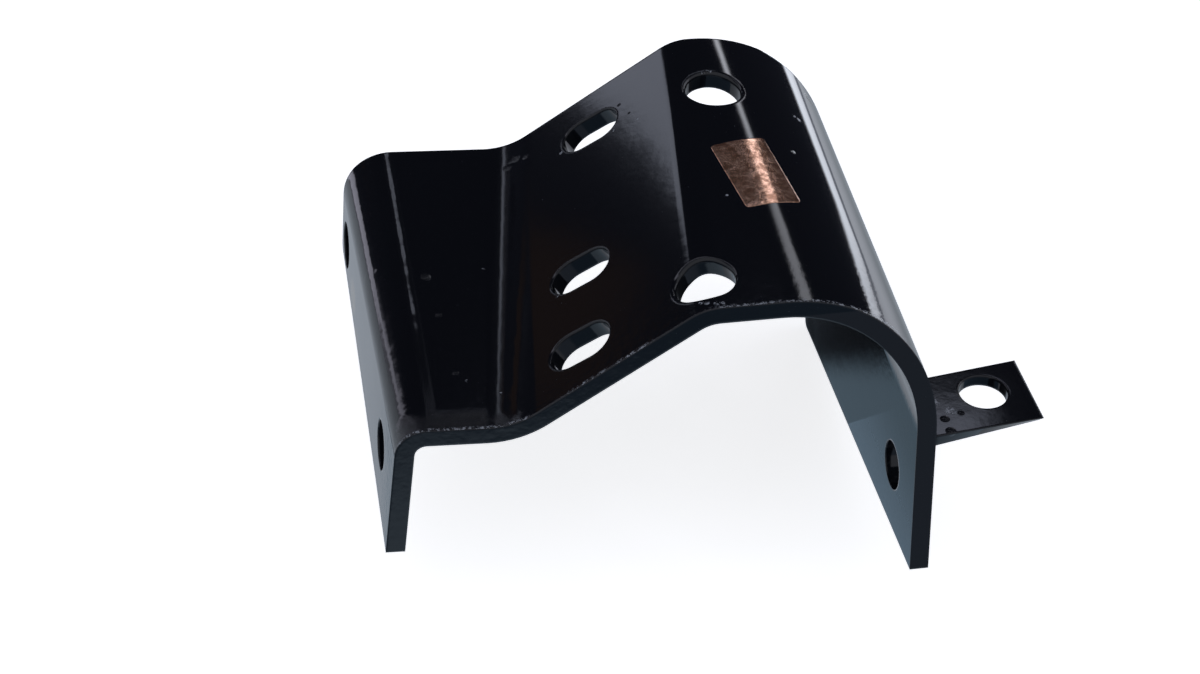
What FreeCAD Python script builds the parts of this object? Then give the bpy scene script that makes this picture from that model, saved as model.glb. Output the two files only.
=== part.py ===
import FreeCAD, Part
import math
import os

import Sketcher
from FreeCAD import Vector

# A stamped bracket folded from one strip of plate. A short left leg carries a shelf, a ramp climbs
# from the shelf to a level top, and a wide bend turns the top down into a long right leg. The ramp's
# two folds run askew of the legs. A small drilled tab is welded to the outside of the right leg and a
# bare foil patch is stuck on the top.
#
# Modelling frame: X runs from the left leg to the right leg, Y from the front edge to the back edge
# along the leg folds, Z up, square to the top. Its zero is where the fold line between shelf and ramp
# meets the front edge. Each body's Placement then moves the whole part so that the origin lies on the
# rear top hole's axis, at half the plate's thickness.

# Sizes in millimetres and degrees: alias, value, meaning
SIZES = [
    ("plate", 6.0, "thickness of the folded plate"),
    ("strip", 140.0, "width of the plate, from the front edge to the back edge"),
    ("hump_skew", 7.3, "turn of the ramp's folds away from the legs, in plan"),
    ("shelf_fall", 3.4, "slope of the shelf, falling towards the ramp"),
    ("ramp_angle", 35.3, "slope of the ramp above the level"),
    ("top_rise", 39.0, "height of the top face above the shelf fold"),
    ("left_face", 36.8, "shelf fold to the outer face of the left leg"),
    ("right_face", 128.5, "shelf fold to the outer face of the right leg"),
    ("left_bend", 10.0, "inner radius of the left leg's bend at the back edge"),
    ("left_bend_front", 3.5, "inner radius of the left leg's bend at the front edge"),
    ("left_front_splay", 1.5, "left leg's front edge, how far its foot stands out past its fold"),
    ("valley_bend", 22.5, "radius of the upper face between shelf and ramp"),
    ("crest_bend", 10.0, "inner radius between ramp and top"),
    ("right_bend", 43.0, "inner radius of the right leg's bend"),
    ("left_front_depth", 49.0, "left leg, shelf level to its front bottom corner"),
    ("left_back_depth", 37.5, "left leg, shelf level to its back bottom corner"),
    ("left_back_lean", 2.7, "left leg, how far the back bottom corner stands forward of the strip"),
    ("right_front_depth", 97.0, "right leg, top face to its front bottom corner"),
    ("right_back_depth", 109.5, "right leg, top face to its back bottom corner"),
    ("right_front_lean", 19.5, "right leg, how far the front bottom corner stands forward"),
    ("right_back_lean", 22.5, "right leg, how far the back bottom corner stands forward of the strip"),
    ("leg_corner", 3.0, "rounding of the legs' back bottom corners"),
    ("top_hole", 18.0, "diameter of the two holes beside the crest"),
    ("rear_hole_across", 81.2, "rear top hole, centre from the shelf fold"),
    ("rear_hole_back", 110.8, "rear top hole, centre from the front edge"),
    ("front_hole_across", 57.8, "front top hole, centre from the shelf fold"),
    ("front_hole_back", 15.1, "front top hole, centre from the front edge"),
    ("hole_rim", 1.2, "rounded rim of the top holes"),
    ("leg_hole", 16.0, "diameter of the holes in the legs"),
    ("left_front_hole_back", 25.2, "left leg's front hole, from the front edge"),
    ("left_front_hole_lift", 21.4, "left leg's front hole, above the front bottom corner"),
    ("left_back_hole_back", 126.0, "left leg's back hole, from the front edge"),
    ("left_back_hole_lift", 9.5, "left leg's back hole, above the back bottom corner"),
    ("right_front_hole_back", 9.3, "right leg's front hole, from the front edge"),
    ("right_front_hole_lift", 18.3, "right leg's front hole, above the front bottom corner"),
    ("right_back_hole_back", 108.0, "right leg's back hole, from the front edge"),
    ("right_back_hole_lift", 24.5, "right leg's back hole, above the back bottom corner"),
    ("slot_length", 21.2, "length of the slots, up the ramp"),
    ("slot_width", 14.2, "width of the slots"),
    ("slot_rim", 0.6, "rounded rim of the slots"),
    ("slot_one_up", 33.2, "rear slot's centre, up the ramp from the shelf fold"),
    ("slot_one_along", 124.8, "rear slot's centre, along the shelf fold"),
    ("slot_two_up", 26.0, "middle slot's centre, up the ramp"),
    ("slot_two_along", 55.6, "middle slot's centre, along the shelf fold"),
    ("slot_three_up", 24.2, "front slot's centre, up the ramp"),
    ("slot_three_along", 20.9, "front slot's centre, along the shelf fold"),
    ("join", 0.5, "level strip between the crest and the right leg's bend at the back edge"),
    ("tab_top", 50.5, "side tab's upper face below the top face"),
    ("tab_plate", 4.0, "thickness of the side tab"),
    ("tab_front", 9.4, "side tab's front root corner, forward of the strip's front edge"),
    ("tab_back", 16.8, "side tab's back root corner, behind the strip's front edge"),
    ("tab_reach", 34.3, "side tab, from the right leg to its outer back corner"),
    ("tab_reach_front", 35.3, "side tab, from the right leg to its outer front corner"),
    ("tab_end_front", 6.0, "side tab's outer front corner, forward of the strip's front edge"),
    ("tab_end_back", 21.8, "side tab's outer back corner, behind the strip's front edge"),
    ("tab_bevel", 3.6, "how far the tab's lower face is cut back at its outer front corner"),
    ("tab_hole", 15.2, "diameter of the side tab's hole"),
    ("tab_hole_out", 20.2, "side tab's hole, centre from the right leg"),
    ("tab_hole_back", 8.6, "side tab's hole, centre behind the strip's front edge"),
    ("tab_hole_rim", 0.5, "rounded rim of the side tab's hole"),
    ("foil", 0.15, "thickness of the foil patch"),
    ("foil_left", 78.2, "foil patch, front left corner from the shelf fold"),
    ("foil_front", 46.2, "foil patch, front left corner from the strip's front edge"),
    ("foil_across", 18.7, "foil patch, left to right"),
    ("foil_along", 33.5, "foil patch, front to back"),
    ("foil_turn", 8.0, "turn of the foil patch's side edges in plan"),
    ("foil_front_turn", 13.0, "turn of the foil patch's front edge in plan"),
]

doc = FreeCAD.newDocument("bracket")
sheet = doc.addObject("Spreadsheet::Sheet", "Sizes")
for row, (alias, value, meaning) in enumerate(SIZES, start=1):
    sheet.set("A%d" % row, alias)
    sheet.set("B%d" % row, str(value))
    sheet.set("C%d" % row, meaning)
    sheet.setAlias("B%d" % row, alias)
doc.recompute()


def size(alias):
    return float(sheet.get(alias))


# Turns of the shelf's frame about the shelf fold, written in the local axes of each base plane
SKEW_SIN = "sin(Sizes.hump_skew * 1 deg)"
SKEW_COS = "cos(Sizes.hump_skew * 1 deg)"
TILT_ON_XZ = "rotation(vector(%s; 0; -%s); Sizes.shelf_fall)" % (SKEW_SIN, SKEW_COS)
TILT_ON_YZ = "rotation(vector(%s; 0; %s); Sizes.shelf_fall)" % (SKEW_COS, SKEW_SIN)
NO_TURN = "rotation(vector(0; 0; 1); 0)"


def new_body(label):
    body = doc.addObject("PartDesign::Body", label)
    body.Label = label
    top_middle = "Sizes.plate / 2 - Sizes.top_rise"
    shift = "vector(-Sizes.rear_hole_across; -Sizes.rear_hole_back; %s)" % top_middle
    body.setExpression("Placement", "placement(%s; %s)" % (shift, NO_TURN))
    return body


def new_sketch(body, name, role, turn=NO_TURN, lift="0"):
    """A sketch on a base plane of the body, turned about its zero and then lifted along its normal."""
    plane = [f for f in body.Origin.OriginFeatures if f.Role == role][0]
    sketch = body.newObject("Sketcher::SketchObject", name)
    sketch.AttachmentSupport = [(plane, "")]
    sketch.MapMode = "FlatFace"
    sketch.setExpression(
        "AttachmentOffset",
        "placement(vector(0; 0; 0); %s) * placement(vector(0; 0; %s); %s)" % (turn, lift, NO_TURN))
    return sketch


def bind(sketch, constraint, expression):
    number = sketch.addConstraint(constraint)
    sketch.setExpression("Constraints[%d]" % number, expression)


def place_point(sketch, shape, end, across, up):
    """Dimension one point of a sketch from the sketch's zero. "0" keeps it on the axis."""
    now = sketch.getPoint(shape, end)
    if across == "0":
        sketch.addConstraint(Sketcher.Constraint("PointOnObject", shape, end, -2))
    else:
        bind(sketch, Sketcher.Constraint("DistanceX", -1, 1, shape, end, now.x), across)
    if up == "0":
        sketch.addConstraint(Sketcher.Constraint("PointOnObject", shape, end, -1))
    else:
        bind(sketch, Sketcher.Constraint("DistanceY", -1, 1, shape, end, now.y), up)


def polygon(sketch, corners):
    """A closed outline whose corners are given as pairs of expressions."""
    count = len(corners)
    first = sketch.GeometryCount
    ring = [Vector(50 * math.cos(2 * math.pi * i / count), 50 * math.sin(2 * math.pi * i / count), 0)
            for i in range(count)]
    for i in range(count):
        sketch.addGeometry(Part.LineSegment(ring[i], ring[(i + 1) % count]), False)
    for i in range(count):
        after = first + (i + 1) % count
        sketch.addConstraint(Sketcher.Constraint("Coincident", first + i, 2, after, 1))
    for i, (across, up) in enumerate(corners):
        place_point(sketch, first + i, 1, across, up)


def circle(sketch, across, up, diameter):
    shape = sketch.addGeometry(Part.Circle(Vector(0, 0, 0), Vector(0, 0, 1), 5.0), False)
    place_point(sketch, shape, 3, across, up)
    bind(sketch, Sketcher.Constraint("Diameter", shape, 10.0), diameter)


def slot(sketch, across, up, length, width):
    """A round-ended slot, long in the sketch's first direction, centred on (across, up)."""
    half = (size("slot_length") - size("slot_width")) / 2
    r = size("slot_width") / 2
    z = Vector(0, 0, 1)
    right = sketch.addGeometry(
        Part.ArcOfCircle(Part.Circle(Vector(half, 0, 0), z, r), -math.pi / 2, math.pi / 2), False)
    left = sketch.addGeometry(
        Part.ArcOfCircle(Part.Circle(Vector(-half, 0, 0), z, r), math.pi / 2, 3 * math.pi / 2), False)
    upper = sketch.addGeometry(Part.LineSegment(Vector(half, r, 0), Vector(-half, r, 0)), False)
    lower = sketch.addGeometry(Part.LineSegment(Vector(-half, -r, 0), Vector(half, -r, 0)), False)
    sketch.addConstraint([
        Sketcher.Constraint("Tangent", right, 2, upper, 1),
        Sketcher.Constraint("Tangent", upper, 2, left, 1),
        Sketcher.Constraint("Tangent", left, 2, lower, 1),
        Sketcher.Constraint("Tangent", lower, 2, right, 1),
        Sketcher.Constraint("Horizontal", lower),
        Sketcher.Constraint("Equal", right, left)])
    bind(sketch, Sketcher.Constraint("Radius", right, r), "(%s) / 2" % width)
    place_point(sketch, right, 3, "%s + (%s - %s) / 2" % (across, length, width), up)
    bind(sketch, Sketcher.Constraint("DistanceX", -1, 1, left, 3, -half),
         "%s - (%s - %s) / 2" % (across, length, width))


def bent_sheet(sketch, corners, face_radii, sheet_thickness, radius_names, thickness_name):
    """Draw a bent sheet from the sharp corners of its upper face, going left to right.

    The faces' arcs are tangent to their lines and share centres, so the sheet keeps its thickness.
    Directions and places are left to the caller. The upper face's lines come back in order.
    """
    points = [Vector(x, y, 0) for x, y in corners]
    runs = []
    for a, b in zip(points, points[1:]):
        runs.append((b - a).normalize())
    sides = []
    for depth in (0.0, sheet_thickness):
        # each run of this face starts and stops where the bends on either side leave off
        starts = []
        stops = []
        arcs = []
        right_of = [Vector(d.y, -d.x, 0) for d in runs]
        starts.append(points[0] + right_of[0] * depth)
        for i, radius in enumerate(face_radii):
            before, after = runs[i], runs[i + 1]
            turn = math.atan2(before.x * after.y - before.y * after.x, before.dot(after))
            setback = radius * math.tan(abs(turn) / 2)
            left_turn = turn > 0
            entry = points[i + 1] - before * setback
            leave = points[i + 1] + after * setback
            toward = -1 if left_turn else 1
            centre = entry + right_of[i] * (toward * radius)
            stops.append(entry + right_of[i] * depth)
            starts.append(leave + right_of[i + 1] * depth)
            arc_radius = radius + depth if left_turn else radius - depth
            arcs.append((centre, arc_radius, left_turn))
        stops.append(points[-1] + right_of[-1] * depth)
        lines = [sketch.addGeometry(Part.LineSegment(p, q), False) for p, q in zip(starts, stops)]
        bends = []
        for i, (centre, radius, left_turn) in enumerate(arcs):
            first = stops[i] - centre
            last = starts[i + 1] - centre
            if not left_turn:
                first, last = last, first
            begin = math.atan2(first.y, first.x)
            end = math.atan2(last.y, last.x)
            if end < begin:
                end += 2 * math.pi
            base = Part.Circle(centre, Vector(0, 0, 1), radius)
            arc = sketch.addGeometry(Part.ArcOfCircle(base, begin, end), False)
            bends.append((arc, left_turn))
            near, far = (1, 2) if left_turn else (2, 1)
            sketch.addConstraint([
                Sketcher.Constraint("Tangent", lines[i], 2, arc, near),
                Sketcher.Constraint("Tangent", lines[i + 1], 1, arc, far)])
        sides.append((lines, bends))
    (upper, upper_bends), (lower, lower_bends) = sides
    for i, name in enumerate(radius_names):
        arc, left_turn = upper_bends[i]
        under = lower_bends[i][0]
        sketch.addConstraint(Sketcher.Constraint("Coincident", arc, 3, under, 3))
        wide, tight = (under, arc) if left_turn else (arc, under)
        tight_radius = sketch.Geometry[tight].Radius
        wide_radius = sketch.Geometry[wide].Radius
        bind(sketch, Sketcher.Constraint("Radius", tight, tight_radius), name)
        bind(sketch, Sketcher.Constraint("Radius", wide, wide_radius), "%s + %s" % (name, thickness_name))
    for end, index in ((1, 0), (2, -1)):
        a, b = upper[index], lower[index]
        p = sketch.getPoint(a, end)
        q = sketch.getPoint(b, end)
        cap = sketch.addGeometry(Part.LineSegment(p, q), False)
        sketch.addConstraint([
            Sketcher.Constraint("Coincident", cap, 1, a, end),
            Sketcher.Constraint("Coincident", cap, 2, b, end),
            Sketcher.Constraint("Parallel", a, b),
            Sketcher.Constraint("Perpendicular", cap, a)])
    return upper


def pad_both_ways(body, sketch, name, reach):
    pad = body.newObject("PartDesign::Pad", name)
    pad.Profile = sketch
    pad.Midplane = True
    pad.setExpression("Length", reach)
    return finish(body, pad)


def cut(body, sketch, name, reach, both=False, reverse=False):
    """Pocket a sketch and make sure that it took material away."""
    before = body.Shape.Volume
    pocket = body.newObject("PartDesign::Pocket", name)
    pocket.Profile = sketch
    pocket.Midplane = both
    pocket.Reversed = reverse
    pocket.setExpression("Length", reach)
    finish(body, pocket)
    if body.Shape.Volume > before - 1.0:
        raise RuntimeError("%s cuts nothing" % name)
    return pocket


def finish(body, feature):
    body.Tip = feature
    doc.recompute()
    if "Invalid" in feature.State or "Error" in feature.State or feature.Shape.isNull():
        raise RuntimeError("%s failed: %s" % (feature.Name, feature.State))
    return feature


def round_edges(body, name, radius, wanted):
    """Round the edges of the body's present shape that the test picks."""
    base = body.Tip
    picked = ["Edge%d" % (i + 1) for i, edge in enumerate(base.Shape.Edges) if wanted(edge)]
    if not picked:
        raise RuntimeError("%s finds no edge" % name)
    rounding = body.newObject("PartDesign::Fillet", name)
    rounding.Base = (base, picked)
    rounding.setExpression("Radius", radius)
    return finish(body, rounding)


# The ramp with its shelf and top, all across the strip
plate = new_body("bracket_plate")
skewed = "rotation(vector(0; 1; 0); -Sizes.hump_skew)"
ramp_profile = new_sketch(plate, "ramp_profile", "XZ_Plane", skewed)
fall = math.radians(size("shelf_fall"))
climb = math.radians(size("ramp_angle"))
rise = size("top_rise")
crest = rise / math.tan(climb)
overrun = 60.0
shelf_line, ramp_line, top_line = bent_sheet(
    ramp_profile,
    [(-overrun * math.cos(fall), overrun * math.sin(fall)), (0, 0),
     (crest, rise), (crest + overrun, rise)],
    [size("valley_bend"), size("crest_bend") + size("plate")], size("plate"),
    ["Sizes.valley_bend", "Sizes.crest_bend"], "Sizes.plate")
ramp_profile.addConstraint([
    Sketcher.Constraint("Horizontal", top_line),
    Sketcher.Constraint("PointOnObject", -1, 1, shelf_line),
    Sketcher.Constraint("PointOnObject", -1, 1, ramp_line)])
bind(ramp_profile, Sketcher.Constraint("Angle", -1, 1, ramp_line, 1, climb), "Sizes.ramp_angle")
bind(ramp_profile, Sketcher.Constraint("Angle", -1, 1, shelf_line, 1, -fall), "-Sizes.shelf_fall")
bind(ramp_profile, Sketcher.Constraint("DistanceX", shelf_line, 1, -1, 1, overrun),
     "1.8 * Sizes.left_face")
place_point(ramp_profile, top_line, 2, "Sizes.right_face", "Sizes.top_rise")
pad_both_ways(plate, ramp_profile, "ramp", "4 * Sizes.strip")

# The ramp piece ends on the shelf between the left bend and the shelf fold, and at the right bend
left_start = "(Sizes.left_face - Sizes.left_bend - Sizes.plate)"
shelf_fold_start = "(Sizes.valley_bend * 0.36)"
ends = new_sketch(plate, "ramp_ends", "XY_Plane")
left_cut = "-(%s * 2 + %s) / 3" % (left_start, shelf_fold_start)
left_arm = "-(%s + %s * 2) / 3" % (left_start, shelf_fold_start)
right_start = "Sizes.right_face - Sizes.right_bend - Sizes.plate"
right_cut = "%s - Sizes.join" % right_start
far = "3 * Sizes.right_face"
polygon(ends, [("-" + far, "-" + far), (far, "-" + far), (far, far), ("-" + far, far)])
polygon(ends, [(left_cut, "-Sizes.strip"), (right_cut, "-Sizes.strip"),
               (right_cut, "2 * Sizes.strip"), (left_cut, "2 * Sizes.strip")])
cut(plate, ends, "ramp_ends_cut", "6 * Sizes.right_face", both=True)

# Left leg, square to the shelf at the back. At the front the bend is tighter and the leg's foot
# stands out. Both sections lie a little beyond the strip's edges.
left_sections = []
for end, lift, bend, splay in (
        ("front", "0.02 * Sizes.strip", "left_bend_front", "Sizes.left_front_splay"),
        ("back", "-1.02 * Sizes.strip", "left_bend", "0")):
    section = new_sketch(plate, "left_profile_" + end, "XZ_Plane", TILT_ON_XZ, lift)
    reach_in = size("left_front_splay") if end == "front" else 0.0
    left_depth = 1.3 * size("left_front_depth")
    arm_end = -(size("left_face") - 16.0) / 1.5
    foot = (-size("left_face") - 0.3 * reach_in, -left_depth)
    fold = (-size("left_face") + reach_in, 0)
    leg_line, arm_line = bent_sheet(
        section, [foot, fold, (arm_end, 0)],
        [size(bend) + size("plate")], size("plate"), ["Sizes." + bend], "Sizes.plate")
    section.addConstraint(Sketcher.Constraint("Horizontal", arm_line))
    if end == "front":
        lean = math.atan2(left_depth, 1.3 * reach_in)
        bind(section, Sketcher.Constraint("Angle", -1, 1, leg_line, 1, lean),
             "atan2(Sizes.left_front_depth; Sizes.left_front_splay)")
    else:
        section.addConstraint(Sketcher.Constraint("Vertical", leg_line))
    place_point(section, leg_line, 1,
                "-Sizes.left_face - 0.3 * " + splay, "-1.3 * Sizes.left_front_depth")
    place_point(section, arm_line, 2, left_arm, "0")
    left_sections.append(section)
left_leg = plate.newObject("PartDesign::AdditiveLoft", "left_leg")
left_leg.Profile = left_sections[0]
left_leg.Sections = [left_sections[1]]
left_leg.Ruled = True
finish(plate, left_leg)

# Front and back edges, square to the legs
edges = new_sketch(plate, "strip_edges", "XY_Plane")
polygon(edges, [("-" + far, "-" + far), (far, "-" + far), (far, far), ("-" + far, far)])
near = "2 * Sizes.right_face"
polygon(edges, [("-" + near, "0"), (near, "0"), (near, "Sizes.strip"), ("-" + near, "Sizes.strip")])
cut(plate, edges, "strip_edges_cut", "6 * Sizes.right_face", both=True)

# Right leg, upright
right_profile = new_sketch(plate, "right_profile", "XZ_Plane")
right_low = rise - 1.3 * size("right_back_depth")
right_flat = size("right_face") - size("right_bend") - size("plate") - size("join")
top_arm, right_leg_line = bent_sheet(
    right_profile,
    [(right_flat, rise), (size("right_face"), rise), (size("right_face"), right_low)],
    [size("right_bend") + size("plate")], size("plate"), ["Sizes.right_bend"], "Sizes.plate")
right_profile.addConstraint([
    Sketcher.Constraint("Horizontal", top_arm),
    Sketcher.Constraint("Vertical", right_leg_line)])
place_point(right_profile, top_arm, 1, right_cut, "Sizes.top_rise")
place_point(right_profile, right_leg_line, 2, "Sizes.right_face",
            "Sizes.top_rise - 1.3 * Sizes.right_back_depth")
pad_both_ways(plate, right_profile, "right_leg", "4 * Sizes.strip")

# Outline of the right leg: it leans forward below the top
right_outline = new_sketch(plate, "right_outline", "YZ_Plane", lift=right_cut)
polygon(right_outline, [("-" + far, "-" + far), (far, "-" + far), (far, far), ("-" + far, far)])
polygon(right_outline, [
    ("0", near),
    ("0", "Sizes.top_rise - Sizes.plate"),
    ("-Sizes.right_front_lean", "Sizes.top_rise - Sizes.right_front_depth"),
    ("Sizes.strip - Sizes.right_back_lean", "Sizes.top_rise - Sizes.right_back_depth"),
    ("Sizes.strip", "Sizes.top_rise - Sizes.plate"),
    ("Sizes.strip", near)])
cut(plate, right_outline, "right_outline_cut", "Sizes.right_face", reverse=True)

# Outline of the left leg: its bottom edge rises towards the back
left_outline = new_sketch(plate, "left_outline", "YZ_Plane", TILT_ON_YZ, left_arm)
polygon(left_outline, [("-" + far, "-" + far), (far, "-" + far), (far, far), ("-" + far, far)])
polygon(left_outline, [
    ("-" + near, near),
    ("-" + near, "-Sizes.left_front_depth"),
    ("0", "-Sizes.left_front_depth"),
    ("Sizes.strip - Sizes.left_back_lean", "-Sizes.left_back_depth"),
    ("Sizes.strip", "-Sizes.plate"),
    ("Sizes.strip + 0.5", near)])
cut(plate, left_outline, "left_outline_cut", "Sizes.left_face")

# Rounded back bottom corners of the legs
low_enough = size("top_rise") - size("right_back_depth") * 0.6


def is_leg_corner(edge):
    box = edge.BoundBox
    across_leg = box.XLength > 0.9 * size("plate") and box.YLength < 0.3 and box.ZLength < 1.0
    return across_leg and box.ZMax < low_enough and box.YMin > size("strip") / 2


round_edges(plate, "leg_corners", "Sizes.leg_corner", is_leg_corner)

# Holes in the legs
left_holes = new_sketch(plate, "left_holes", "YZ_Plane", TILT_ON_YZ, "-Sizes.left_face")
circle(left_holes, "Sizes.left_front_hole_back",
       "Sizes.left_front_hole_lift - Sizes.left_front_depth", "Sizes.leg_hole")
circle(left_holes, "Sizes.left_back_hole_back",
       "Sizes.left_back_hole_lift - Sizes.left_back_depth", "Sizes.leg_hole")
cut(plate, left_holes, "left_holes_cut", "1.5 * Sizes.plate", reverse=True)
right_holes = new_sketch(plate, "right_holes", "YZ_Plane", lift="Sizes.right_face")
circle(right_holes, "Sizes.right_front_hole_back",
       "Sizes.top_rise - Sizes.right_front_depth + Sizes.right_front_hole_lift", "Sizes.leg_hole")
circle(right_holes, "Sizes.right_back_hole_back",
       "Sizes.top_rise - Sizes.right_back_depth + Sizes.right_back_hole_lift", "Sizes.leg_hole")
cut(plate, right_holes, "right_holes_cut", "1.5 * Sizes.plate")

# Slots in the ramp
on_ramp = "rotation(vector(0; 0; 1); -Sizes.hump_skew) * rotation(vector(0; 1; 0); -Sizes.ramp_angle)"
ramp_slots = new_sketch(plate, "ramp_slots", "XY_Plane", on_ramp)
for number in ("one", "two", "three"):
    slot(ramp_slots, "Sizes.slot_%s_up" % number, "Sizes.slot_%s_along" % number,
         "Sizes.slot_length", "Sizes.slot_width")
cut(plate, ramp_slots, "ramp_slots_cut", "1.5 * Sizes.plate")

# Rear top hole, straight down
rear_hole = new_sketch(plate, "rear_hole", "XY_Plane", lift="Sizes.top_rise")
circle(rear_hole, "Sizes.rear_hole_across", "Sizes.rear_hole_back", "Sizes.top_hole")
cut(plate, rear_hole, "rear_hole_cut", "2 * Sizes.plate")

# Front top hole, square to the middle of the crest bend
half_way = ("rotation(vector(0; 0; 1); -Sizes.hump_skew)"
            " * rotation(vector(0; 1; 0); -Sizes.ramp_angle / 2)")
crest_hole = new_sketch(plate, "crest_hole", "XY_Plane", half_way, "1.5 * Sizes.top_rise")
across_fold = "(Sizes.front_hole_across * %s - Sizes.front_hole_back * %s)" % (SKEW_COS, SKEW_SIN)
along_fold = "(Sizes.front_hole_across * %s + Sizes.front_hole_back * %s)" % (SKEW_SIN, SKEW_COS)
climbed = "%s * cos(Sizes.ramp_angle * 0.5 deg)" % across_fold
raised = "Sizes.top_rise * sin(Sizes.ramp_angle * 0.5 deg)"
up_half = "(%s + %s)" % (climbed, raised)
circle(crest_hole, up_half, along_fold, "Sizes.top_hole")
cut(plate, crest_hole, "crest_hole_cut", "1.5 * Sizes.top_rise")

# Rounded rims, where the punch drew the upper face in
skew = math.radians(size("hump_skew"))
UP = Vector(0, 0, 1)
ACROSS_FOLD = Vector(math.cos(skew), -math.sin(skew), 0)
ALONG_FOLD = Vector(math.sin(skew), math.cos(skew), 0)
RAMP_NORMAL = UP * math.cos(climb) - ACROSS_FOLD * math.sin(climb)
RAMP_UP = ACROSS_FOLD * math.cos(climb) + UP * math.sin(climb)
CREST_NORMAL = UP * math.cos(climb / 2) - ACROSS_FOLD * math.sin(climb / 2)


def samples(edge):
    first, last = edge.ParameterRange
    return [edge.valueAt(first + (last - first) * i / 4) for i in range(5)]


def hole_rim(centre, axis, lowest):
    """A test for the edges of a top hole that lie on the plate's upper face."""
    def test(edge):
        for point in samples(edge):
            offset = point - centre
            height = offset.dot(axis)
            if abs((offset - axis * height).Length - size("top_hole") / 2) > 0.05 or height < lowest:
                return False
        return True
    return test


def is_slot_rim(edge):
    for number in ("one", "two", "three"):
        up_middle = size("slot_%s_up" % number)
        along_middle = size("slot_%s_along" % number)
        inside = True
        for point in samples(edge):
            up_off = abs(point.dot(RAMP_UP) - up_middle)
            along_off = abs(point.dot(ALONG_FOLD) - along_middle)
            on_face = abs(point.dot(RAMP_NORMAL)) < 0.05
            too_far_up = up_off > size("slot_length") / 2 + 0.1
            too_far_along = along_off > size("slot_width") / 2 + 0.1
            if too_far_up or too_far_along or not on_face:
                inside = False
        if inside:
            return True
    return False


rear_middle = Vector(size("rear_hole_across"), size("rear_hole_back"), rise)
front_middle = Vector(size("front_hole_across"), size("front_hole_back"), rise)
half_plate = size("plate") / 2
round_edges(plate, "slot_rims", "Sizes.slot_rim", is_slot_rim)
round_edges(plate, "rear_hole_rim", "Sizes.hole_rim", hole_rim(rear_middle, UP, -half_plate))
round_edges(plate, "front_hole_rim", "Sizes.hole_rim",
            hole_rim(front_middle, CREST_NORMAL, -half_plate - size("hole_rim") * 1.5))

# Side tab, welded to the right leg
side_tab = new_body("side_tab")
tab_level = "Sizes.top_rise - Sizes.tab_top"
tab_face = new_sketch(side_tab, "tab_face", "XY_Plane", lift=tab_level)
tab_under = new_sketch(side_tab, "tab_under", "XY_Plane", lift=tab_level + " - Sizes.tab_plate")
for outline, bevel in ((tab_face, "0"), (tab_under, "Sizes.tab_bevel")):
    polygon(outline, [
        ("Sizes.right_face", "-Sizes.tab_front"),
        ("Sizes.right_face + Sizes.tab_reach_front", "%s - Sizes.tab_end_front" % bevel),
        ("Sizes.right_face + Sizes.tab_reach", "Sizes.tab_end_back"),
        ("Sizes.right_face", "Sizes.tab_back")])
tab_sheet = side_tab.newObject("PartDesign::AdditiveLoft", "tab_sheet")
tab_sheet.Profile = tab_under
tab_sheet.Sections = [tab_face]
tab_sheet.Ruled = True
finish(side_tab, tab_sheet)
tab_drilling = new_sketch(side_tab, "tab_drilling", "XY_Plane", lift=tab_level)
circle(tab_drilling, "Sizes.right_face + Sizes.tab_hole_out", "Sizes.tab_hole_back", "Sizes.tab_hole")
cut(side_tab, tab_drilling, "tab_hole", "1.5 * Sizes.tab_plate")
tab_height = rise - size("tab_top")


def is_tab_rim(edge):
    round_edge = isinstance(edge.Curve, Part.Circle)
    return round_edge and abs(edge.BoundBox.ZMin - tab_height) < 0.01


round_edges(side_tab, "tab_hole_rim", "Sizes.tab_hole_rim", is_tab_rim)

# Foil patch, lying on the top and over the start of the right bend
foil_patch = new_body("foil_patch")
foil_profile = new_sketch(foil_patch, "foil_profile", "XZ_Plane")
foil_top = rise + size("foil")
foil_run, foil_drop = bent_sheet(
    foil_profile,
    [(right_flat - 20, foil_top), (size("right_face") + size("foil"), foil_top),
     (size("right_face") + size("foil"), -20)],
    [size("right_bend") + size("plate") + size("foil")], size("foil"),
    ["Sizes.right_bend + Sizes.plate"], "Sizes.foil")
foil_profile.addConstraint([
    Sketcher.Constraint("Horizontal", foil_run),
    Sketcher.Constraint("Vertical", foil_drop)])
place_point(foil_profile, foil_run, 1,
            "%s - Sizes.foil_across - 5" % right_start, "Sizes.top_rise + Sizes.foil")
place_point(foil_profile, foil_drop, 2, "Sizes.right_face + Sizes.foil", "-20")
pad_both_ways(foil_patch, foil_profile, "foil", "4 * Sizes.strip")
foil_outline = new_sketch(foil_patch, "foil_outline", "XY_Plane")
polygon(foil_outline, [("-" + far, "-" + far), (far, "-" + far), (far, far), ("-" + far, far)])
side_x = "Sizes.foil_along * -sin(Sizes.foil_turn * 1 deg)"
side_y = "Sizes.foil_along * cos(Sizes.foil_turn * 1 deg)"
front_x = "Sizes.foil_across * cos(Sizes.foil_front_turn * 1 deg)"
front_y = "Sizes.foil_across * sin(Sizes.foil_front_turn * 1 deg)"
polygon(foil_outline, [
    ("Sizes.foil_left", "Sizes.foil_front"),
    ("Sizes.foil_left + " + front_x, "Sizes.foil_front + " + front_y),
    ("Sizes.foil_left + %s + %s" % (front_x, side_x), "Sizes.foil_front + %s + %s" % (front_y, side_y)),
    ("Sizes.foil_left + " + side_x, "Sizes.foil_front + " + side_y)])
cut(foil_patch, foil_outline, "foil_outline_cut", "6 * Sizes.right_face", both=True)

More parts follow.
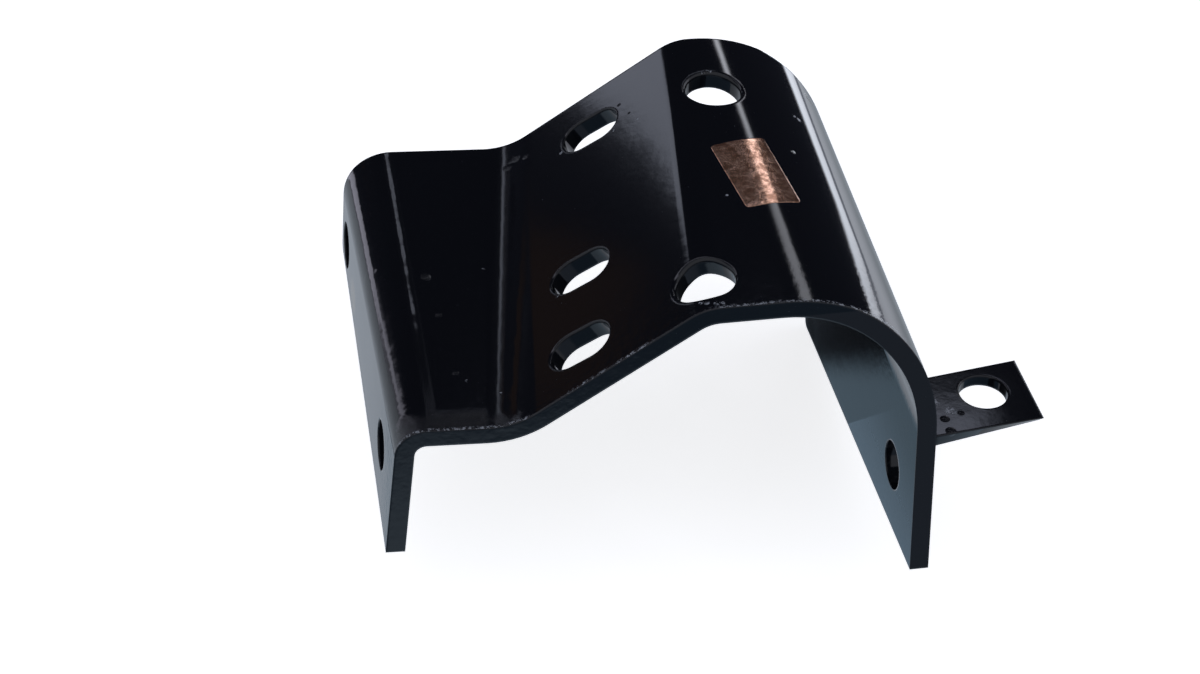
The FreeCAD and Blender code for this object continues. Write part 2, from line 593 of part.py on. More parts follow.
# Every object must have worked out before anything is written
doc.recompute()
for item in doc.Objects:
    if "Invalid" in item.State or "Error" in item.State:
        raise RuntimeError("%s is %s" % (item.Name, item.State))
os.makedirs("parts", exist_ok=True)
for body in (plate, side_tab, foil_patch):
    if body.Shape.isNull() or not body.Shape.isValid():
        raise RuntimeError("%s has no valid shape" % body.Label)
    box = body.Shape.BoundBox
    print(body.Label, "volume", round(body.Shape.Volume), "solids", len(body.Shape.Solids),
          "faces", len(body.Shape.Faces), box)
    body.Shape.exportStep("parts/%s.step" % body.Label)
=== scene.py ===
import math

import bmesh
import bpy
from mathutils import Matrix, Vector, noise
from mathutils.bvhtree import BVHTree


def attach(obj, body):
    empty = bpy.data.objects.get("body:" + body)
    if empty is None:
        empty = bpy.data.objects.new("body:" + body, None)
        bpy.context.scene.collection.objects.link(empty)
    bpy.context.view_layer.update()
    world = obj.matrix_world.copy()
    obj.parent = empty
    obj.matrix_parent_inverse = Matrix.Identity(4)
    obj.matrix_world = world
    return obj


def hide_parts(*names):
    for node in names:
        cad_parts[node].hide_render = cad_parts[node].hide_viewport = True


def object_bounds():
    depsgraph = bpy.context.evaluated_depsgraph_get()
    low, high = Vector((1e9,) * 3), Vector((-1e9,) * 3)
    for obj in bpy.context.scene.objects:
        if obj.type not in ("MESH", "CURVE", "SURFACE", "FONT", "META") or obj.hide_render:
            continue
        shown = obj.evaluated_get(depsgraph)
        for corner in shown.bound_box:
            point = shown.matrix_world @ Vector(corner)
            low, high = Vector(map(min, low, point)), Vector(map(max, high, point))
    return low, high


# The bracket stands on a white sheet in a dark room with a low window ahead and a high one to the right.
# Its gloss black paint mirrors the sheet in its legs and the windows in its folds. The room is fitted to
# the photograph's camera, and only camera rays see the white background.

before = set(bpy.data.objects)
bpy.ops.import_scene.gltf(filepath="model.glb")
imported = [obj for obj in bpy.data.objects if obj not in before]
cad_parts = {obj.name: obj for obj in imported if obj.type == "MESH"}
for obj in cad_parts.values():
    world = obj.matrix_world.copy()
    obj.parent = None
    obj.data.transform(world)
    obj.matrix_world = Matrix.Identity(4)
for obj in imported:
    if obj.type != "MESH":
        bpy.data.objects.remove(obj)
cad_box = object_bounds()
scene = bpy.context.scene

# Places in the frame, in metres. The frame's origin is in the rear top hole, so the fold line between
# shelf and ramp meets the front edge at this point. Past x of WORN_END, in the large bend, the paint
# along the front edge is neither coarse nor chipped, and has no painted glints.
FOLD = Vector((-0.0812, -0.1108, -0.0360))
WORN_END = 0.040

# The photograph's camera, from a fit of the object's outline: a picture 1200 by 674, focal length and
# middle in its pixels, and the place relative to the fold line's front end. The heading runs from +Y
# towards +X, the tilt is below the horizon and the roll lifts the right side, all in degrees.
PICTURE = (1200, 674)
FOCAL_PIXELS = 2600.0
MIDDLE_PIXELS = (595.63, 356.48)
CAMERA_FROM_FOLD = Vector((-0.09005, -0.56867, 0.51649))
CAMERA_HEADING = 11.304
CAMERA_TILT = 40.297
CAMERA_ROLL = 2.184
SENSOR_WIDTH = 36.0

# Paint colour, and the radius that the paint gives every edge
PAINT = (0.0042, 0.0047, 0.0068, 1.0)
DUST = (0.05, 0.055, 0.07, 1.0)
# The pale grey is bare metal at chips and rubs, and partly painted glints.
BARE_METAL_AND_GLINTS = (0.34, 0.36, 0.40, 1.0)
# The pale slate is dust and a painted reflection of the lit sheet in the long leg.
LEG_DUST_AND_REFLECTION = (0.15, 0.19, 0.225, 1.0)
BROWN_STAIN = (0.32, 0.22, 0.11, 1.0)
EDGE_RADIUS = 0.0009
PLATE_ROUGHNESS = 0.07
TAB_ROUGHNESS = 0.06

# Glints along the two folds beside the shelf: a place in plan, the run of x with y, and how far the
# shading normal leans there. Both lean backwards too.
VALLEY_PLACE = (-0.0709, -0.0116)
VALLEY_SLOPE = 0.168
VALLEY_LEAN = 0.60
CREASE_PLACE = (-0.1042, 0.0)
CREASE_SLOPE = 0.011
CREASE_LEAN = 0.52
LEAN_BACKWARDS = 0.22

# The line in the long leg, through its foot at this y and z, and its rise towards the front. Below it the
# inner face is paler: dust and a painted reflection of the lit sheet.
LEG_LINE = (-0.0547, -0.0994)
LEG_LINE_SLOPE = 1.03

# Marks in the paint: where each is in the photograph, in pixels, and its radius in metres. The plate's
# rub marks are pale bare metal and partly painted glints. The last rub mark on the tab is hidden there
# behind the leg's edge.
PLATE_DRIPS = [((515, 159), 0.0010), ((507, 168), 0.0008), ((525, 157), 0.0006), ((510, 162), 0.0005),
               ((438, 315), 0.0006), ((425, 277), 0.0010), ((455, 373), 0.0006), ((809, 99), 0.0015),
               ((619, 105), 0.0004), ((629, 113), 0.0003), ((793, 152), 0.0005)]
TAB_DRIPS = [((951, 431), 0.0009), ((945, 419), 0.0008), ((961, 413), 0.0006)]
PLATE_RUB_MARKS_AND_GLINTS = [((707, 303), 0.0005), ((717, 303), 0.0006), ((723, 303), 0.0004), ((701, 303), 0.0005),
                   ((709, 71), 0.0005), ((703, 73), 0.0004), ((727, 195), 0.0003), ((637, 119), 0.0004),
                   ((613, 131), 0.0004), ((557, 297), 0.0004), ((561, 153), 0.0004), ((483, 269), 0.0003),
                   ((467, 381), 0.0004), ((501, 393), 0.0003), ((794, 116), 0.0005), ((799, 120), 0.0006)]
TAB_RUB_MARKS = [((951, 411), 0.0012), ((931, 403), 0.0016), ((930, 419), 0.0009)]

# Brown stains on the left leg, each a place given on its outer face and a radius, in metres
LEG_STAINS = [(Vector((-0.1200, -0.0060, -0.0660)), 0.0040), (Vector((-0.1203, -0.0200, -0.0780)), 0.0050)]

# The foil patch as in the CAD model: its front left corner from the fold, its sides and their turn in
# degrees, and the corners' radius
FOIL_LEFT = 0.0782
FOIL_FRONT = 0.0462
FOIL_ACROSS = 0.0187
FOIL_ALONG = 0.0335
FOIL_TURN = 8.0
FOIL_FRONT_TURN = 13.0
FOIL_THICKNESS = 0.00015
FOIL_CORNER = 0.0014
FOIL_ROWS = 110
FOIL_COLUMNS = 64
# The foil's two copper colours follow the crinkles: painted highlight on their raised parts, painted shade
# in their hollows.
SHADED_CRINKLE_COPPER = (0.34, 0.165, 0.10, 1.0)
LIT_CRINKLE_COPPER = (0.80, 0.48, 0.34, 1.0)

# The room's colours. Above 1 they are brighter than the white background.
BLACK = (0.0, 0.0, 0.0, 1.0)
WHITE = (1.0, 1.0, 1.0, 1.0)
DARK_ROOM = (0.020, 0.022, 0.032, 1.0)
LOW_WINDOW = (1.12, 1.20, 1.46, 1.0)
WARM_PATCH = (0.075, 0.045, 0.03, 1.0)
HIGH_WINDOW = (4.0, 4.1, 4.5, 1.0)
OVER_TAB = (1.35, 1.45, 1.8, 1.0)
RIGHT_WALL_TOP = (2.9, 3.05, 3.4, 1.0)
RIGHT_WALL = (1.2, 1.26, 1.4, 1.0)
RIGHT_SHEET_NEAR = (0.36, 0.40, 0.45, 1.0)
RIGHT_SHEET_FAR = (1.10, 1.16, 1.30, 1.0)
RIGHT_GAP = (0.12, 0.14, 0.20, 1.0)
LEFT_WALL = (1.25, 1.25, 1.5, 1.0)
LEFT_SHEET = (0.45, 0.50, 0.57, 1.0)
LEFT_GAP = (0.14, 0.13, 0.17, 1.0)
SHEET_IN_SHADE = (0.20, 0.29, 0.37, 1.0)
DEEP_SHADE = (0.003, 0.003, 0.004, 1.0)
CEILING = (0.10, 0.11, 0.14, 1.0)
WALL_BEHIND = (0.50, 0.52, 0.58, 1.0)
FLOOR_BEHIND_NEAR = (0.42, 0.54, 0.66, 1.0)
FLOOR_BEHIND_MIDDLE = (0.08, 0.13, 0.19, 1.0)
FLOOR_BEHIND_FAR = (0.21, 0.26, 0.34, 1.0)

# Edges in the room, in degrees. Three numbers are a straight edge as line() takes it, its slope and a
# point that it passes. RIGHT_SHEET_LOWEST is an elevation, the other single numbers are azimuths, and
# HIGH_FADE is the share of light that the high window loses towards its top.
LOW_SILL = (-1.05, -25.4, 15.0)
LOW_SILL_SIDE = (-3.5, -25.4, 15.0)
LOW_FRAME = (0.35, 16.0, -26.9)
LOW_END = -21.5
HIGH_BOW = (0.6, 26.5, 0.0)
HIGH_MIDDLE = 25.4
HIGH_FADE = 0.5476
RIGHT_WALL_EDGES = ((0.5, 36.7, -8.3), (2.4, 42.4, -0.3))
RIGHT_SHEET_EDGES = ((0.75, 34.5, -16.5), (2.0, 41.5, -9.5))
RIGHT_SHEET_LOWEST = -24.0
LEFT_WALL_END = -39.0
LEFT_SHEET_END = -38.5
SHADE_EDGE = (-0.1, -18.1, -40.1)

# The floor: half its side and how far it is below the legs, in metres, and how much of its white is its
# own. The rest is lit and takes the shadow.
FLOOR_HALF = 3.0
FLOOR_BELOW = 0.0005
FLOOR_GLOW = 0.75
FLOOR_COLOUR = (0.95, 0.95, 0.95, 1.0)


def node_tree(owner):
    owner.use_nodes = True
    tree = owner.node_tree
    tree.nodes.clear()
    return tree


def add(tree, kind, inputs=None, **settings):
    """A node with its settings and inputs. An input may be a value or another node's output."""
    node = tree.nodes.new(kind)
    for name, value in settings.items():
        setattr(node, name, value)
    for key, value in (inputs or {}).items():
        socket = node.inputs[key]
        if isinstance(value, bpy.types.NodeSocket):
            tree.links.new(value, socket)
        else:
            socket.default_value = value
    return node


def math_node(tree, operation, a, b=0.0, clamp=False):
    return add(tree, "ShaderNodeMath", {0: a, 1: b}, operation=operation, use_clamp=clamp).outputs[0]


def plus(tree, *values):
    total = values[0]
    for value in values[1:]:
        total = math_node(tree, "ADD", total, value)
    return total


def times(tree, *values):
    total = values[0]
    for value in values[1:]:
        total = math_node(tree, "MULTIPLY", total, value)
    return total


def minus(tree, a, b):
    return math_node(tree, "SUBTRACT", a, b)


def greater(tree, a, b):
    return math_node(tree, "MAXIMUM", a, b)


def above(tree, value, limit):
    """How far value is above the limit, and 0 below it."""
    return greater(tree, minus(tree, value, limit), 0.0)


def below(tree, value, limit):
    """How far value is below the limit, and 0 above it."""
    return greater(tree, minus(tree, limit, value), 0.0)


def step_up(tree, value, low, high):
    """0 below low, 1 above high, smooth between."""
    node = add(tree, "ShaderNodeMapRange", {"Value": value, "From Min": low, "From Max": high},
               interpolation_type="SMOOTHSTEP", clamp=True)
    return node.outputs["Result"]


def step_down(tree, value, low, high):
    """1 below low, 0 above high, smooth between."""
    return minus(tree, 1.0, step_up(tree, value, low, high))


def window(tree, value, low, high, edge):
    """1 between low and high, fading to 0 over edge on both sides."""
    return times(tree, step_up(tree, value, low - edge, low), step_down(tree, value, high, high + edge))


def line(tree, value, slope, at, height):
    """height + slope * (value - at)"""
    return plus(tree, times(tree, minus(tree, value, at), slope), height)


def blend(tree, factor, a, b, blend_type="MIX"):
    node = add(tree, "ShaderNodeMix", {0: factor, 6: a, 7: b}, data_type="RGBA", blend_type=blend_type)
    return node.outputs[2]


def noise_at(tree, place, scale, detail, roughness=0.5):
    inputs = {"Vector": place, "Scale": scale, "Detail": detail, "Roughness": roughness}
    return add(tree, "ShaderNodeTexNoise", inputs).outputs["Fac"]


def bump(tree, height, strength, distance, normal=None):
    inputs = {"Height": height, "Strength": strength, "Distance": distance}
    if normal is not None:
        inputs["Normal"] = normal
    return add(tree, "ShaderNodeBump", inputs).outputs[0]


def spots(tree, place, marks):
    """1 within the radius of each mark, fading to 0 at twice the radius."""
    total = 0.0
    for centre, radius in marks:
        away = add(tree, "ShaderNodeVectorMath", {0: place, 1: centre}, operation="DISTANCE")
        total = plus(tree, total, step_down(tree, away.outputs["Value"], radius, radius * 2))
    return total


def finish_material(tree, surface):
    out = add(tree, "ShaderNodeOutputMaterial")
    tree.links.new(surface.outputs[0], out.inputs[0])


def camera_axes():
    """The camera's right, up and forward directions."""
    heading, tilt, roll = (math.radians(turn) for turn in (CAMERA_HEADING, CAMERA_TILT, CAMERA_ROLL))
    level_forward = Vector((math.sin(heading), math.cos(heading), 0.0))
    forward = level_forward * math.cos(tilt) - Vector((0.0, 0.0, math.sin(tilt)))
    level_right = Vector((math.cos(heading), -math.sin(heading), 0.0))
    right = level_right * math.cos(roll) + level_right.cross(forward) * math.sin(roll)
    return right, right.cross(forward), forward


def surface_of(piece):
    return BVHTree.FromPolygons([piece.matrix_world @ vertex.co for vertex in piece.data.vertices],
                                [face.vertices[:] for face in piece.data.polygons])


def seen_on(surface, marks):
    """Marks at the photograph's pixels as places on a piece, each found by a ray from the camera."""
    right, up, forward = camera_axes()
    found = []
    for (x, y), radius in marks:
        across = (x - MIDDLE_PIXELS[0]) / FOCAL_PIXELS
        down = (y - MIDDLE_PIXELS[1]) / FOCAL_PIXELS
        ray = (forward + right * across - up * down).normalized()
        centre, _, _, _ = surface.ray_cast(FOLD + CAMERA_FROM_FOLD, ray)
        found.append((centre, radius))
    return found


def fold_glints(tree, x, y, uneven):
    """How far the normal leans along the two folds beside the shelf, and where these folds are rubbed."""
    from_valley = minus(tree, x, line(tree, y, VALLEY_SLOPE, VALLEY_PLACE[1], VALLEY_PLACE[0]))
    valley = times(tree, step_up(tree, from_valley, -0.0030, 0.0030),
                   step_down(tree, from_valley, 0.0030, 0.0100), VALLEY_LEAN,
                   plus(tree, 0.94, times(tree, uneven, 0.12)))
    from_crease = minus(tree, x, line(tree, y, CREASE_SLOPE, CREASE_PLACE[1], CREASE_PLACE[0]))
    crease = times(tree, window(tree, from_crease, -0.0002, 0.0002, 0.0014), CREASE_LEAN,
                   plus(tree, 0.83, times(tree, uneven, 0.26)),
                   step_up(tree, y, FOLD.y + 0.012, FOLD.y + 0.060))
    rubbed = plus(tree, window(tree, from_valley, -0.0015, 0.0020, 0.001),
                  window(tree, from_crease, -0.0012, 0.0012, 0.001))
    return plus(tree, valley, crease), rubbed


def front_burr_and_glints(tree, x, y, facing_up, patches, grit):
    """Bare specks and painted glints along the front edge's upper corner, where the shears left a burr."""
    front_edge = times(tree, step_down(tree, y, FOLD.y + 0.0005, FOLD.y + 0.0016), facing_up,
                       step_down(tree, x, WORN_END - 0.010, WORN_END))
    # Painted glints: a band of x at the shelf's front corner gets pale specks wherever the grit allows.
    where = greater(tree, step_up(tree, patches, 0.42, 0.58), window(tree, x, -0.097, -0.079, 0.004))
    return times(tree, front_edge, step_up(tree, grit, 0.51, 0.56), where)


def leg_dust_and_reflection(tree, place, facing_x, grit):
    """Dust and a painted reflection of the lit sheet in the long leg's inner face, below a line from its
    foot up to its front edge.
    """
    x, y, z = place
    in_leg = times(tree, step_down(tree, facing_x, -0.8, -0.5), step_up(tree, x, 0.030, 0.036))
    past_line = plus(tree, times(tree, minus(tree, LEG_LINE[0], y), LEG_LINE_SLOPE),
                     minus(tree, LEG_LINE[1], z))
    dusty_and_reflecting = times(tree, in_leg, step_up(tree, past_line, -0.0003, 0.0006),
                  step_down(tree, z, -0.102, -0.050))
    return times(tree, dusty_and_reflecting, plus(tree, 0.7, times(tree, grit, 0.5)))


def paint(name, roughness, drips, rub_marks_and_glints, stains):
    """Gloss black paint: orange peel, dust, a chipped front edge and rub marks with painted glints, dried
    drips, stains, and dust with a painted reflection in the long leg.
    """
    material = bpy.data.materials.new(name)
    tree = node_tree(material)
    geometry = add(tree, "ShaderNodeNewGeometry")
    place = geometry.outputs["Position"]
    x, y, z = add(tree, "ShaderNodeSeparateXYZ", {0: place}).outputs
    facing = add(tree, "ShaderNodeSeparateXYZ", {0: geometry.outputs["True Normal"]}).outputs
    facing_up = step_up(tree, facing[2], 0.3, 0.6)

    peel = noise_at(tree, place, 420.0, 3.0)
    wave = noise_at(tree, place, 60.0, 2.0)
    dust = noise_at(tree, place, 900.0, 4.0, 0.7)
    grit = noise_at(tree, place, 700.0, 5.0, 0.8)
    patches = noise_at(tree, place, 38.0, 3.0)
    uneven = step_up(tree, noise_at(tree, place, 170.0, 4.0), 0.35, 0.65)

    # The paint is coarser towards the front edge, and lumpy at the shelf's front corner and in drips
    sprayed = times(tree, step_down(tree, y, FOLD.y + 0.006, FOLD.y + 0.045),
                    step_down(tree, x, WORN_END, WORN_END + 0.004))
    front_band = times(tree, step_down(tree, y, FOLD.y + 0.004, FOLD.y + 0.011),
                       step_down(tree, x, FOLD.x - 0.002, FOLD.x + 0.006), facing_up)
    lumps = plus(tree, times(tree, front_band, step_up(tree, patches, 0.42, 0.62), 0.6),
                 spots(tree, place, drips))

    lean, rubbed = fold_glints(tree, x, y, uneven)
    lean = times(tree, lean, facing_up)
    lean = add(tree, "ShaderNodeCombineXYZ", {
        0: times(tree, lean, -1.0), 1: times(tree, lean, LEAN_BACKWARDS)})
    rounded = add(tree, "ShaderNodeBevel", {"Radius": EDGE_RADIUS}, samples=8).outputs[0]
    normal = add(tree, "ShaderNodeVectorMath", {0: rounded, 1: lean.outputs[0]}, operation="ADD").outputs[0]
    normal = add(tree, "ShaderNodeVectorMath", {0: normal}, operation="NORMALIZE").outputs[0]
    normal = bump(tree, wave, 0.012, 0.002, normal)
    normal = bump(tree, peel, plus(tree, 0.010, times(tree, sprayed, 0.05)), 0.0005, normal)
    normal = bump(tree, times(tree, lumps, grit), 0.35, 0.0011, normal)

    # Pale bare metal at chips and rub marks, partly painted glints on edges and rims.
    chips_and_glints = front_burr_and_glints(tree, x, y, facing_up, patches, grit)
    marks = times(tree, spots(tree, place, rub_marks_and_glints), step_up(tree, grit, 0.47, 0.55))
    worn_and_glinting = math_node(tree, "ADD", chips_and_glints, marks, clamp=True)
    specks = step_up(tree, dust, 0.70, 0.76)
    base = blend(tree, specks, PAINT, DUST)
    base = blend(tree, worn_and_glinting, base, BARE_METAL_AND_GLINTS)
    # Dust and a painted reflection: the long leg's inner face is paler below its line.
    base = blend(tree, leg_dust_and_reflection(tree, (x, y, z), facing[0], grit), base, LEG_DUST_AND_REFLECTION)
    if stains:
        stained = times(tree, spots(tree, place, stains), step_up(tree, wave, 0.30, 0.65))
        base = blend(tree, stained, base, BROWN_STAIN)
    rough = plus(tree, roughness, times(tree, specks, 0.3), times(tree, worn_and_glinting, 0.35),
                 times(tree, rubbed, facing_up, 0.13))
    finish_material(tree, add(tree, "ShaderNodeBsdfPrincipled", {
        "Base Color": base, "Roughness": rough, "IOR": 1.5, "Normal": normal}))
    return material


def copper_foil(name):
    """Thin crinkled copper-coloured foil, with painted highlights and shade on its crinkles."""
    material = bpy.data.materials.new(name)
    tree = node_tree(material)
    place = add(tree, "ShaderNodeNewGeometry").outputs["Position"]
    crinkle = noise_at(tree, place, 330.0, 6.0, 0.7)
    normal = bump(tree, noise_at(tree, place, 110.0, 2.0), 0.05, 0.0012)
    normal = bump(tree, crinkle, 0.07, 0.0007, normal)
    # Painted highlight and shade: raised crinkles pale copper, hollows dark.
    base = blend(tree, step_up(tree, crinkle, 0.38, 0.62), SHADED_CRINKLE_COPPER, LIT_CRINKLE_COPPER)
    finish_material(tree, add(tree, "ShaderNodeBsdfPrincipled", {
        "Base Color": base, "Metallic": 0.8, "Roughness": 0.13, "Normal": normal}))
    return material


def dress(piece, material):
    piece.data.materials.clear()
    piece.data.materials.append(material)
    for face in piece.data.polygons:
        face.material_index = 0


def foil_side(length, turn):
    turn = math.radians(turn)
    return Vector((math.cos(turn), math.sin(turn), 0.0)) * length


def make_foil(surface, material):
    """The foil patch again, with rounded corners and crinkles, pressed onto the top and its bend."""
    front_side = foil_side(FOIL_ACROSS, FOIL_FRONT_TURN)
    long_side = foil_side(FOIL_ALONG, FOIL_TURN + 90.0)
    foil_mesh = bmesh.new()
    rows = []
    for row in range(FOIL_ROWS + 1):
        v = row / FOIL_ROWS
        end = min(v, 1.0 - v) * FOIL_ALONG
        inset = 0.0
        if end < FOIL_CORNER:
            inset = FOIL_CORNER - math.sqrt(FOIL_CORNER ** 2 - (FOIL_CORNER - end) ** 2)
        share = inset / FOIL_ACROSS
        points = []
        for column in range(FOIL_COLUMNS + 1):
            u = share + (1.0 - 2.0 * share) * column / FOIL_COLUMNS
            start = FOLD + Vector((FOIL_LEFT, FOIL_FRONT, 0.1)) + front_side * u + long_side * v
            hit, normal, _, _ = surface.ray_cast(start, Vector((0.0, 0.0, -1.0)))
            crease = noise.noise(hit * 240.0) * 0.6 + noise.noise(hit * 620.0) * 0.4
            edge = min(u - share, 1.0 - share - u, v, 1.0 - v)
            lift = FOIL_THICKNESS * (0.55 + 0.08 * crease) * min(1.0, 0.35 + 12.0 * edge)
            points.append(foil_mesh.verts.new(hit + normal * lift))
        rows.append(points)
    for lower, upper in zip(rows, rows[1:]):
        for column in range(FOIL_COLUMNS):
            foil_mesh.faces.new((lower[column], lower[column + 1], upper[column + 1], upper[column]))
    rim = rows[0] + [r[-1] for r in rows[1:-1]] + rows[-1][::-1] + [r[0] for r in rows[-2:0:-1]]
    feet = []
    for vertex in rim:
        hit, normal, _, _ = surface.find_nearest(vertex.co)
        feet.append(foil_mesh.verts.new(hit + normal * 0.00001))
    for i, vertex in enumerate(rim):
        after = (i + 1) % len(rim)
        foil_mesh.faces.new((rim[after], vertex, feet[i], feet[after]))
    bmesh.ops.recalc_face_normals(foil_mesh, faces=foil_mesh.faces)
    mesh = bpy.data.meshes.new("foil_sheet")
    foil_mesh.to_mesh(mesh)
    foil_mesh.free()
    for face in mesh.polygons:
        face.use_smooth = True
    mesh.materials.append(material)
    foil_sheet = bpy.data.objects.new("foil_sheet", mesh)
    scene.collection.objects.link(foil_sheet)
    return foil_sheet


def low_window(tree, azimuth, elevation, light):
    """The low window ahead, seen in the crest and the folds, and the warm dark patch beside it."""
    sill = math_node(tree, "MINIMUM", line(tree, azimuth, *LOW_SILL), line(tree, azimuth, *LOW_SILL_SIDE))
    sharpness = line(tree, step_up(tree, azimuth, -26.6, -25.6), -2.0, 0.0, 3.0)
    above_sill = times(tree, minus(tree, elevation, sill), sharpness)
    right_of_frame = minus(tree, azimuth, line(tree, elevation, *LOW_FRAME))
    end = minus(tree, LOW_END, times(tree, above(tree, elevation, 20.3), 0.8))
    inside = times(tree, step_up(tree, above_sill, -0.5, 0.5), step_up(tree, right_of_frame, -0.6, 0.4),
                   step_down(tree, minus(tree, azimuth, end), -0.4, 0.5),
                   step_down(tree, elevation, 20.0, 26.0))
    light = blend(tree, inside, light, LOW_WINDOW)
    warm = times(tree, window(tree, azimuth, -32.0, -28.4, 0.5),
                 window(tree, elevation, 9.0, 15.5, 1.0), 0.9)
    return blend(tree, warm, light, WARM_PATCH)


def light_over_tab(tree, azimuth, elevation, light):
    inside = times(tree, step_up(tree, elevation, 40.45, 40.75), step_down(tree, elevation, 46.0, 52.0),
                   window(tree, azimuth, 16.0, 22.4, 0.7))
    return blend(tree, inside, light, OVER_TAB)


def high_window(tree, azimuth, elevation, is_behind):
    """The high window to the right, brightest at its foot, seen along the top."""
    bow = math_node(tree, "MINIMUM", greater(tree, line(tree, elevation, *HIGH_BOW), -1.5), 2.3)
    off_middle = math_node(tree, "ABSOLUTE", minus(tree, azimuth, plus(tree, bow, HIGH_MIDDLE)))
    half = plus(tree, 0.9, step_up(tree, elevation, 28.0, 32.0))
    inside = times(tree, step_up(tree, minus(tree, half, off_middle), -1.7, 0.8),
                   step_up(tree, elevation, 18.0, 23.0), step_down(tree, elevation, 36.0, 40.0),
                   minus(tree, 1.0, is_behind))
    share = minus(tree, 1.0, times(tree, step_up(tree, elevation, 26.5, 30.5), HIGH_FADE))
    return blend(tree, times(tree, inside, share), BLACK, HIGH_WINDOW)


def right_side(tree, azimuth, elevation, light):
    """The bright wall and the sheet to the right, seen in the bend and the long leg."""
    wall_top = greater(tree, *(line(tree, azimuth, *edge) for edge in RIGHT_WALL_EDGES))
    sheet_edge = greater(tree, *(line(tree, azimuth, *edge) for edge in RIGHT_SHEET_EDGES))
    sheet_edge = greater(tree, sheet_edge, RIGHT_SHEET_LOWEST)
    below_top = minus(tree, wall_top, elevation)
    below_edge = minus(tree, sheet_edge, elevation)
    wall = blend(tree, step_up(tree, below_top, 0.0, 9.0), RIGHT_WALL_TOP, RIGHT_WALL)
    light = blend(tree, step_up(tree, below_top, -1.2, 1.2), light, wall)
    sheet = blend(tree, step_up(tree, elevation, -28.0, -12.0), RIGHT_SHEET_NEAR, RIGHT_SHEET_FAR)
    light = blend(tree, step_up(tree, below_edge, 0.0, 0.8), light, sheet)
    gap = times(tree, window(tree, below_edge, -0.9, 0.1, 0.7), 0.85)
    return blend(tree, gap, light, RIGHT_GAP)


def left_side(tree, azimuth, elevation, light):
    """The bright wall and the sheet to the left, seen in the left bend and leg."""
    wall_end = plus(tree, LEFT_WALL_END, times(tree, below(tree, elevation, 2.0), 0.55),
                    times(tree, above(tree, elevation, 12.0), 0.28))
    sheet_end = plus(tree, LEFT_SHEET_END, times(tree, below(tree, elevation, -8.0), 0.8),
                     times(tree, step_up(tree, elevation, -8.0, 8.0), -2.24))
    light = blend(tree, step_down(tree, minus(tree, azimuth, wall_end), -0.5, 0.5), light, LEFT_WALL)
    past_sheet = minus(tree, azimuth, sheet_end)
    on_sheet = greater(tree, step_down(tree, past_sheet, -1.2, -0.8),
                       step_down(tree, elevation, -19.0, -17.0))
    light = blend(tree, on_sheet, light, LEFT_SHEET)
    gap = times(tree, window(tree, past_sheet, -1.1, -0.5, 0.4),
                step_up(tree, elevation, -18.0, -16.0), 0.85)
    return blend(tree, gap, light, LEFT_GAP)


def own_shadow(tree, azimuth, elevation, light):
    """The sheet in the bracket's own shadow, which the long leg's inner face mirrors."""
    shade = times(tree, window(tree, azimuth, -24.0, -15.6, 0.6), step_down(tree, elevation, -39.4, -38.9))
    light = blend(tree, shade, light, SHEET_IN_SHADE)
    past_edge = minus(tree, elevation, line(tree, azimuth, *SHADE_EDGE))
    deep = times(tree, step_up(tree, past_edge, -0.35, 0.35), step_down(tree, elevation, -38.6, -38.0),
                 window(tree, azimuth, -22.5, -16.8, 0.5))
    return blend(tree, deep, light, DEEP_SHADE)


def behind_camera(tree, elevation):
    """A plain pale wall over the sheet."""
    light = blend(tree, step_up(tree, elevation, -44.5, -40.3), FLOOR_BEHIND_NEAR, FLOOR_BEHIND_MIDDLE)
    light = blend(tree, step_up(tree, elevation, -36.0, -28.0), light, FLOOR_BEHIND_FAR)
    return blend(tree, step_down(tree, elevation, -3.0, 3.0), WALL_BEHIND, light)


def make_room():
    """The world. Azimuth runs from +Y towards +X and elevation is above the horizon, both in degrees."""
    world = bpy.data.worlds.new("room")
    scene.world = world
    tree = node_tree(world)
    direction = add(tree, "ShaderNodeTexCoord").outputs["Generated"]
    x, y, z = add(tree, "ShaderNodeSeparateXYZ", {0: direction}).outputs
    azimuth = times(tree, math_node(tree, "ARCTAN2", x, y), math.degrees(1.0))
    elevation = times(tree, math_node(tree, "ARCSINE", z), math.degrees(1.0))
    aside = math_node(tree, "ABSOLUTE", azimuth)
    is_behind = math_node(tree, "GREATER_THAN", aside, 90.0)
    is_left = math_node(tree, "LESS_THAN", azimuth, 0.0)

    light = low_window(tree, azimuth, elevation, DARK_ROOM)
    light = light_over_tab(tree, azimuth, elevation, light)
    to_right = right_side(tree, azimuth, elevation, light)
    to_left = own_shadow(tree, azimuth, elevation, left_side(tree, azimuth, elevation, light))
    ahead = blend(tree, is_left, to_right, to_left)
    overhead = times(tree, step_up(tree, elevation, 30.0, 48.0), step_up(tree, aside, 44.0, 50.0))
    ahead = blend(tree, overhead, ahead, CEILING)
    light = blend(tree, is_behind, ahead, behind_camera(tree, elevation))
    light = blend(tree, 1.0, light, high_window(tree, azimuth, elevation, is_behind), "ADD")

    to_camera = add(tree, "ShaderNodeLightPath").outputs["Is Camera Ray"]
    room = add(tree, "ShaderNodeBackground", {"Color": light, "Strength": 1.0})
    white = add(tree, "ShaderNodeBackground", {"Color": WHITE, "Strength": 1.0})
    either = add(tree, "ShaderNodeMixShader", {0: to_camera, 1: room.outputs[0], 2: white.outputs[0]})
    out = add(tree, "ShaderNodeOutputWorld")
    tree.links.new(either.outputs[0], out.inputs[0])


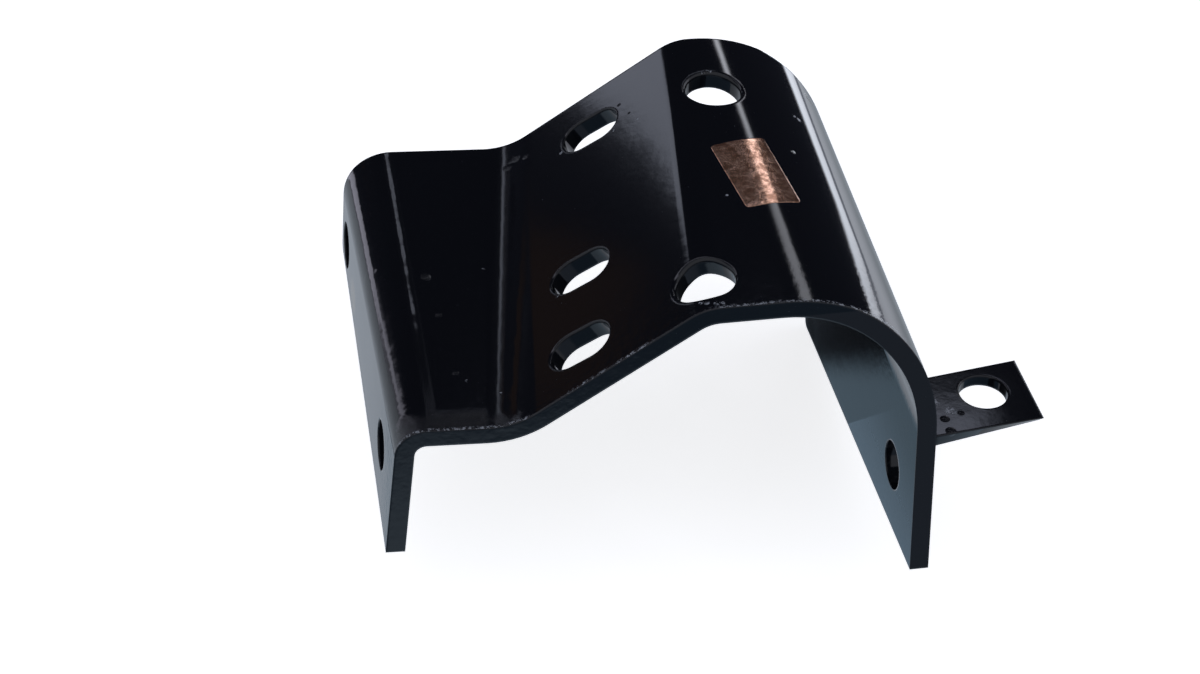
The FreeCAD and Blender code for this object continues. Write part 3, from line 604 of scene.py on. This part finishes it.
def make_floor():
    """A white floor under the legs that takes the bracket's shadow. Only camera rays see it."""
    height = cad_box[0][2] - FLOOR_BELOW
    corners = [(-1.0, -1.0), (1.0, -1.0), (1.0, 1.0), (-1.0, 1.0)]
    mesh = bpy.data.meshes.new("floor")
    mesh.from_pydata([(x * FLOOR_HALF, y * FLOOR_HALF, height) for x, y in corners], [], [(0, 1, 2, 3)])
    floor = bpy.data.objects.new("floor", mesh)
    scene.collection.objects.link(floor)
    material = bpy.data.materials.new("floor")
    tree = node_tree(material)
    glow = add(tree, "ShaderNodeEmission", {"Color": WHITE, "Strength": FLOOR_GLOW})
    matt = add(tree, "ShaderNodeBsdfDiffuse", {"Color": FLOOR_COLOUR})
    finish_material(tree, add(tree, "ShaderNodeAddShader", {0: glow.outputs[0], 1: matt.outputs[0]}))
    mesh.materials.append(material)
    floor.visible_glossy = False
    floor.visible_diffuse = False
    floor.visible_shadow = False
    return floor


def make_camera():
    data = bpy.data.cameras.new("camera")
    camera = bpy.data.objects.new("camera", data)
    scene.collection.objects.link(camera)
    right, up, forward = camera_axes()
    turned = Matrix((right, up, -forward)).transposed().to_4x4()
    camera.matrix_world = Matrix.Translation(FOLD + CAMERA_FROM_FOLD) @ turned
    width, height = PICTURE
    data.sensor_width = SENSOR_WIDTH
    data.lens = SENSOR_WIDTH * FOCAL_PIXELS / width
    data.shift_x = 0.5 - MIDDLE_PIXELS[0] / width
    data.shift_y = (MIDDLE_PIXELS[1] - height / 2) / width
    data.clip_start = 0.01
    data.clip_end = 10.0
    return camera


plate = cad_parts["bracket_plate"]
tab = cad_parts["side_tab"]
flat_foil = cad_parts["foil_patch"]
plate_surface = surface_of(plate)
tab_surface = surface_of(tab)

dress(plate, paint("plate_paint", PLATE_ROUGHNESS, seen_on(plate_surface, PLATE_DRIPS),
                   seen_on(plate_surface, PLATE_RUB_MARKS_AND_GLINTS), LEG_STAINS))
dress(tab, paint("tab_paint", TAB_ROUGHNESS, seen_on(tab_surface, TAB_DRIPS),
                 seen_on(tab_surface, TAB_RUB_MARKS), []))
foil_material = copper_foil("copper_foil")
dress(flat_foil, foil_material)

foil_sheet = make_foil(plate_surface, foil_material)
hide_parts("foil_patch")
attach(foil_sheet, "root")

make_room()
make_floor()
scene.camera = make_camera()

scene.view_settings.view_transform = "Standard"
